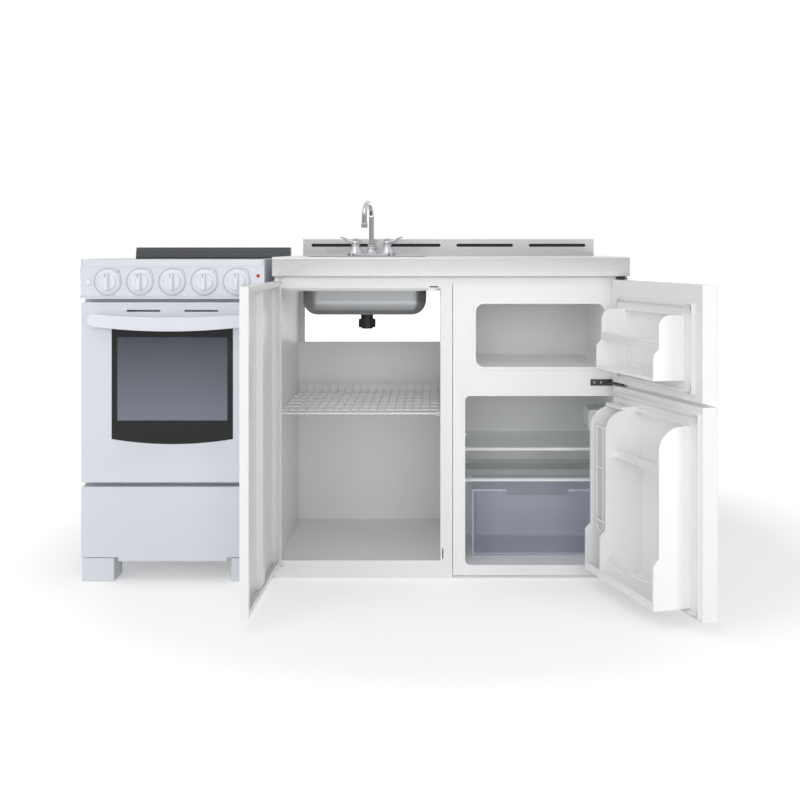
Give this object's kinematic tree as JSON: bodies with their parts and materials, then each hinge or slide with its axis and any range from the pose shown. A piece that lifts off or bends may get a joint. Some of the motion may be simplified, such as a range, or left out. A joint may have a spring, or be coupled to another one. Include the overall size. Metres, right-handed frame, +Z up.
{
  "type": "kitchenette unit with sink and hob",
  "caption": "Steel kitchenette with worktop, slotted splashback, sink, lever tap, cupboard and fridge-freezer, beside a narrow electric range with a smooth hob and oven.",
  "frame": {"origin": "on the floor at mid-width and mid-depth of the steel worktop, on the underside of the base frame", "axes": "+X along the worktop from the range towards the fridge-freezer, +Y towards the wall behind, +Z up"},
  "size_m": [1.654, 1.0814, 1.072],
  "materials": {
    "unit_white": "smooth satin enamel",
    "floor_grey": "satin",
    "worktop_steel": "brushed along its length",
    "bowl_steel": "satin",
    "black_plastic": "matte",
    "chrome": "polished",
    "wire_white": "plastic coated, gloss",
    "white_plastic": "gloss",
    "fridge_white": "gloss painted case with a foam core",
    "liner_white": "gloss moulding",
    "shelf_glass": "clear",
    "dark_metal": "satin",
    "crisper_clear": "clear moulding",
    "gasket_white": "matte",
    "range_enamel": "gloss porcelain enamel",
    "hob_black": "polished black glass-ceramic",
    "guard_steel": "dark brushed",
    "lamp_red": "gloss lens",
    "knob_white": "gloss",
    "oven_enamel": "dark enamel",
    "window_glass": "black bordered glass",
    "galvanised": "satin"
  },
  "bodies": {
    "unit": {"base_frame": "unit_white", "cupboard_floor": "floor_grey", "side_panel": "unit_white", "partition": "unit_white", "top_rail": "unit_white", "back_panel": "unit_white", "worktop": "worktop_steel", "splashback": "worktop_steel", "vent_baffle": "black_plastic", "sink_bowl": "bowl_steel", "sink_strainer": "chrome", "drain_tail": "black_plastic", "tap_body": "chrome", "wire_shelf": "wire_white", "fridge_case": "fridge_white", "freezer_liner": "liner_white", "fridge_liner": "liner_white", "glass_shelves": "shelf_glass", "shelf_trims": "white_plastic", "thermostat": "white_plastic", "fridge_hinges": "dark_metal", "compressor": "dark_metal", "condenser": "dark_metal", "range_body": "range_enamel", "cooktop": "range_enamel", "hob_glass": "hob_black", "backguard": "guard_steel", "control_panel": "range_enamel", "indicator_lamp": "lamp_red", "oven_cavity": "oven_enamel", "oven_racks": "chrome", "range_feet": "range_enamel"},
    "spout": {"tap_spout": "chrome"},
    "left_lever": {"lever_left": "chrome"},
    "right_lever": {"lever_right": "chrome"},
    "cupboard_door": {"cupboard_door": "unit_white", "door_stiffener": "unit_white", "door_pull": "white_plastic"},
    "dial": {"thermostat_dial": "white_plastic"},
    "crisper": {"crisper_drawer": "crisper_clear"},
    "freezer_door": {"freezer_door_shell": "fridge_white", "freezer_door_liner": "liner_white", "freezer_gasket": "gasket_white", "freezer_door_bar": "white_plastic"},
    "fridge_door": {"fridge_door_shell": "fridge_white", "fridge_door_liner": "liner_white", "fridge_gasket": "gasket_white", "can_retainers": "wire_white", "bottle_bar": "wire_white"},
    "button": {"light_button": "knob_white"},
    "oven_door": {"oven_door": "range_enamel", "oven_window": "window_glass", "oven_handle": "knob_white"},
    "range_drawer": {"drawer_front": "range_enamel", "drawer_box": "galvanised"},
    "knob_1": {"knob_1": "knob_white"},
    "knob_2": {"knob_2": "knob_white"},
    "knob_3": {"knob_3": "knob_white"},
    "knob_4": {"knob_4": "knob_white"},
    "knob_5": {"knob_5": "knob_white"}
  },
  "joints": [
    {"name": "cupboard_door_hinge", "type": "hinge", "parent": "unit", "child": "cupboard_door", "pos_m": [-0.485, -0.297, 0.43], "axis": [0, 0, 1], "range_deg": [-10, 91.5]},
    {"name": "freezer_door_hinge", "type": "hinge", "parent": "unit", "child": "freezer_door", "pos_m": [0.4745, -0.316, 0.69], "axis": [0, 0, 1], "range_deg": [-107, 15]},
    {"name": "fridge_door_hinge", "type": "hinge", "parent": "unit", "child": "fridge_door", "pos_m": [0.4745, -0.316, 0.285], "axis": [0, 0, 1], "range_deg": [-107, 15]},
    {"name": "crisper_slide", "type": "slide", "parent": "unit", "child": "crisper", "axis": [0, -1, 0], "range_m": [0, 0.155]},
    {"name": "thermostat_turn", "type": "hinge", "parent": "unit", "child": "dial", "pos_m": [0.435, -0.133, 0.417], "axis": [0, 1, 0], "range_deg": [0, 270]},
    {"name": "spout_swivel", "type": "hinge", "parent": "unit", "child": "spout", "pos_m": [-0.248, 0.195, 0.926], "axis": [0, 0, 1], "range_deg": [-69, 91]},
    {"name": "left_lever_turn", "type": "hinge", "parent": "unit", "child": "left_lever", "pos_m": [-0.2988, 0.195, 0.941], "axis": [0, 0, 1], "range_deg": [0, 90]},
    {"name": "right_lever_turn", "type": "hinge", "parent": "unit", "child": "right_lever", "pos_m": [-0.1972, 0.195, 0.941], "axis": [0, 0, 1], "range_deg": [-90, 0]},
    {"name": "oven_door_hinge", "type": "hinge", "parent": "unit", "child": "oven_door", "pos_m": [-0.769, -0.311, 0.286], "axis": [1, 0, 0], "range_deg": [0, 88]},
    {"name": "range_drawer_slide", "type": "slide", "parent": "unit", "child": "range_drawer", "axis": [0, -1, 0], "range_m": [0, 0.35]},
    {"name": "knob_1_turn", "type": "hinge", "parent": "unit", "child": "knob_1", "pos_m": [-0.947, -0.323, 0.828], "axis": [0, 1, 0], "range_deg": [0, 300]},
    {"name": "knob_2_turn", "type": "hinge", "parent": "unit", "child": "knob_2", "pos_m": [-0.858, -0.323, 0.828], "axis": [0, 1, 0], "range_deg": [0, 300]},
    {"name": "knob_3_turn", "type": "hinge", "parent": "unit", "child": "knob_3", "pos_m": [-0.769, -0.323, 0.828], "axis": [0, 1, 0], "range_deg": [0, 300]},
    {"name": "knob_4_turn", "type": "hinge", "parent": "unit", "child": "knob_4", "pos_m": [-0.68, -0.323, 0.828], "axis": [0, 1, 0], "range_deg": [0, 300]},
    {"name": "knob_5_turn", "type": "hinge", "parent": "unit", "child": "knob_5", "pos_m": [-0.591, -0.323, 0.828], "axis": [0, 1, 0], "range_deg": [0, 300]},
    {"name": "light_button_push", "type": "slide", "parent": "unit", "child": "button", "axis": [0, 1, 0], "range_m": [0, 0.003], "stiffness_N_per_m": 300}
  ]
}
